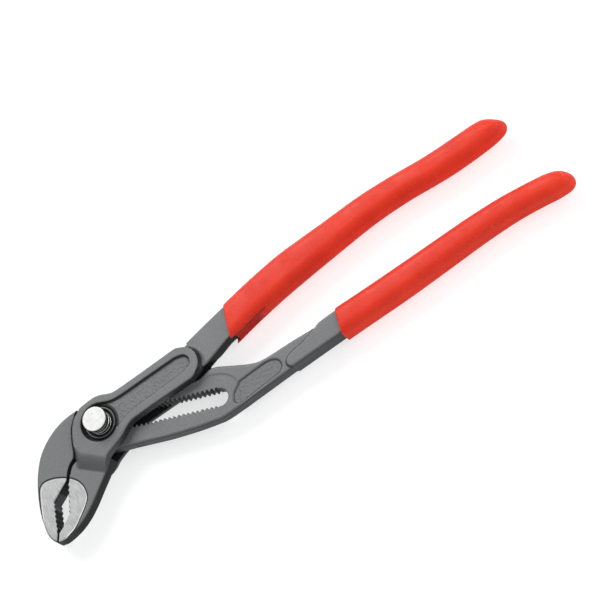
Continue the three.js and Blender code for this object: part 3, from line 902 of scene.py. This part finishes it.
def add_grip(node, solid, lever):
    grid = grip_grid(node)
    field, groove = solid(grid)
    points, quads, where = surface_net(grid, field)
    grip = add_piece(node + "_sleeve", points, quads, RED, lever, node)
    if groove is not None:
        # the groove's painted shade, kept between the lobes and short of the groove's end
        between_lobes = smooth_step(GROOVE_HALF + 0.2 - np.abs(points[:, 2]), 0.5)
        add_attribute(grip, "groove", sample(groove, where) * between_lobes * (points[:, 0] < GROOVE_END))


add_grip("outer_grip", outer_grip_solid, "outer_lever")
add_grip("inner_grip", inner_grip_solid, "inner_lever")


# ---------------------------------------------------------------- bolt, button, cup and spring
FLANGE_RADIUS = 6.2
STEM_RADIUS = 2.9
PIN_RADIUS = 2.0
COLLAR_TOP = -1.4
TOOTH_LEVEL = COLLAR_TOP - 0.8  # height of the section the collar's teeth are read from
BOLT_EDGE = 0.3  # rounding of the flange's edges
TOOTH_EDGE = 0.2  # rounding of the collar's top edge
JOINED = 0.5  # how far the bolt's parts run into each other
BOLT_STEP = 0.8 * FINE  # spacing of the bolt's sampling grid
BUTTON = [corner[2] for corner in node_box("push_button")]  # lowest and highest point
BUTTON_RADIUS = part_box("push_button")[1][0] / MM
BUTTON_SKIN = 0.8  # thickness of the button's top over the pin
BUTTON_EDGE = 0.25
CUP = [corner[2] for corner in node_box("spring_cup")]
CUP_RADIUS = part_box("spring_cup")[1][0] / MM
CUP_WALL = 1.05
CUP_CHAMFER = (0.4, 0.7)  # width and height of the chamfer on the cup's outer edge
CUP_FLOOR = 5.0
CUP_BORE = STEM_RADIUS + 0.4
SPRING = [corner[2] for corner in node_box("button_spring")]
SPRING_RADIUS = 4.5
WIRE_RADIUS = 0.35
WIRE_SIDES = 12
SPRING_TURNS = 3.5
SPRING_RINGS = 192  # rings of points along the spring's wire
DEAD_TURNS = 0.6  # closed coil at each end of the spring


def add_bolt():
    """Rear flange, toothed collar, stem and pin on one axis."""
    low, high = node_box("pivot_bolt")
    grid = Grid(stations(low[0], high[0], BOLT_STEP), low, high, BOLT_STEP)
    radius, z = np.hypot(grid.x3, grid.y3), grid.z3
    off_flange = np.abs(z + (CHEEK_HALF + WINDOW_HALF) / 2) - (CHEEK_HALF - WINDOW_HALF) / 2
    flange = meet(radius - FLANGE_RADIUS, off_flange, BOLT_EDGE)
    below = -z - WINDOW_HALF - JOINED
    teeth = grid.signed(section("pivot_bolt", TOOTH_LEVEL))[:, :, None]
    collar = meet(teeth, np.maximum(z - COLLAR_TOP, below), TOOTH_EDGE)
    stem = np.maximum(radius - STEM_RADIUS, np.maximum(z - BUTTON[0] + JOINED, below))
    pin = np.maximum(radius - PIN_RADIUS, np.maximum(z - high[2], -z))
    field = np.minimum(np.minimum(flange, collar), np.minimum(stem, pin))
    points, quads, _ = surface_net(grid, field)
    add_piece("toothed_bolt", points, quads, DARK, "push_button", "pivot_bolt")


def add_button():
    """A round head with a blind bore for the pin."""
    low, high = BUTTON
    bore = PIN_RADIUS + 0.05
    profile = [(0, high - BUTTON_SKIN), (bore, high - BUTTON_SKIN), (bore, low), (BUTTON_RADIUS, low),
               (BUTTON_RADIUS, high - BUTTON_EDGE), (BUTTON_RADIUS - BUTTON_EDGE, high), (0, high)]
    turned("button_head", softened(profile, 0.15), BRIGHT, "push_button", "push_button")


def add_cup():
    """The ring that the spring stands in. Only its top face is left unshaded."""
    low, high = CUP
    wall = CUP_RADIUS - CUP_WALL
    profile = [(CUP_BORE, low), (CUP_RADIUS, low), (CUP_RADIUS, high - CUP_CHAMFER[1]),
               (CUP_RADIUS - CUP_CHAMFER[0], high), (wall, high), (wall, CUP_FLOOR), (CUP_BORE, CUP_FLOOR)]
    cup = turned("spring_seat_cup", profile, FORGED, "bolt_seat", "spring_cup")
    reach = [math.hypot(v.co.x, v.co.y) / MM for v in cup.data.vertices]
    top = [v.co.z / MM - MID_Z > high - 0.1 for v in cup.data.vertices]
    add_attribute(cup, "shaded", [0 if up and r > wall + 0.1 else 1 for r, up in zip(reach, top)])
    add_attribute(cup, "ground", [BAND] * len(reach))


def add_spring():
    """A coil with closed ends, as rings of points round the wire's centre line."""
    count, sides = SPRING_RINGS, WIRE_SIDES
    points, faces = [], []
    low, high = SPRING[0] + WIRE_RADIUS, SPRING[1] - WIRE_RADIUS
    for n in range(count + 1):
        turn = SPRING_TURNS * n / count
        rise = min(max((turn - DEAD_TURNS) / (SPRING_TURNS - 2 * DEAD_TURNS), 0), 1)
        angle = 2 * math.pi * turn
        for s in range(sides):
            round_wire = 2 * math.pi * s / sides
            r = SPRING_RADIUS + WIRE_RADIUS * math.cos(round_wire)
            z = low + (high - low) * rise + WIRE_RADIUS * math.sin(round_wire)
            points.append((r * math.cos(angle), r * math.sin(angle), z))
    for n in range(count):
        for s in range(sides):
            t = (s + 1) % sides
            faces.append((n * sides + s, n * sides + t, (n + 1) * sides + t, (n + 1) * sides + s))
    faces.append(tuple(range(sides)))
    faces.append(tuple(count * sides + s for s in reversed(range(sides))))
    spring = add_piece("button_coil_spring", points, faces, WIRE, "bolt_seat",
                       "button_spring")
    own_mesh(spring)


add_bolt()
add_button()
add_cup()
add_spring()


# ---------------------------------------------------------------- floor, light and camera
FLOOR_RADIUS = 3.0
FLOOR_DROP = 0.00005  # keeps the floor clear of the tool's lowest faces


def add_floor():
    """A pale round floor that glows a little, as the photograph has a white ground."""
    mesh = bmesh.new()
    bmesh.ops.create_circle(mesh, cap_ends=True, segments=64, radius=FLOOR_RADIUS)
    data = bpy.data.meshes.new("floor")
    mesh.to_mesh(data)
    mesh.free()
    n = Nodes("floor")
    data.materials.append(n.finish(Base_Color=(0.5, 0.5, 0.5), Roughness=0.8, Emission_Color=(1, 1, 1),
                                   Emission_Strength=0.62))
    floor = bpy.data.objects.new("floor", data)
    floor.location.z = cad_box[0][2] - FLOOR_DROP
    bpy.context.scene.collection.objects.link(floor)


def add_light(name, direction, distance, size, power, target):
    """A round area light that faces its target."""
    lamp = bpy.data.lights.new(name, "AREA")
    lamp.shape, lamp.size, lamp.energy = "DISK", size, power
    light = bpy.data.objects.new(name, lamp)
    light.location = target + Vector(direction).normalized() * distance
    light.rotation_mode = "QUATERNION"
    light.rotation_quaternion = Vector(direction).to_track_quat("Z", "Y")
    bpy.context.scene.collection.objects.link(light)


def set_world():
    world = bpy.data.worlds.new("studio")
    world.use_nodes = True
    world.node_tree.nodes["Background"].inputs["Color"].default_value = (0.96, 0.975, 1.0, 1)
    world.node_tree.nodes["Background"].inputs["Strength"].default_value = 0.5
    bpy.context.scene.world = world
    bpy.context.scene.view_settings.view_transform = "Standard"


VIEW_FROM = Vector((0.128, -0.452, 0.883)).normalized()  # direction from the tool to the camera
VIEW_RIGHT = Vector((0.784, -0.498, -0.369)).normalized()  # the picture's horizontal
VIEW_WIDTH = 0.2349  # width of the view at the tool
VIEW_CENTRE = Vector((0.0925, -0.008, MID_Z * MM))


def add_camera():
    """A long lens, so that the view is nearly parallel, as in the photograph."""
    lens, sensor = 200, 36
    camera = bpy.data.objects.new("camera", bpy.data.cameras.new("camera"))
    camera.data.lens, camera.data.sensor_width = lens, sensor
    up = VIEW_FROM.cross(VIEW_RIGHT)
    right = up.cross(VIEW_FROM)
    turn = [[right[n], up[n], VIEW_FROM[n]] for n in range(3)]
    camera.rotation_mode = "QUATERNION"
    camera.rotation_quaternion = Matrix(turn).to_quaternion()
    camera.location = VIEW_CENTRE + VIEW_FROM * VIEW_WIDTH * lens / sensor
    camera.data.clip_end = 20
    bpy.context.scene.collection.objects.link(camera)
    bpy.context.scene.camera = camera


add_floor()
set_world()
middle = (cad_box[0] + cad_box[1]) / 2
add_light("key", (-0.10, 0.80, 0.80), 1.2, 0.8, 9.5, middle)
add_light("fill", (0.75, -0.3, 0.6), 0.9, 0.8, 3.7, middle)
add_camera()
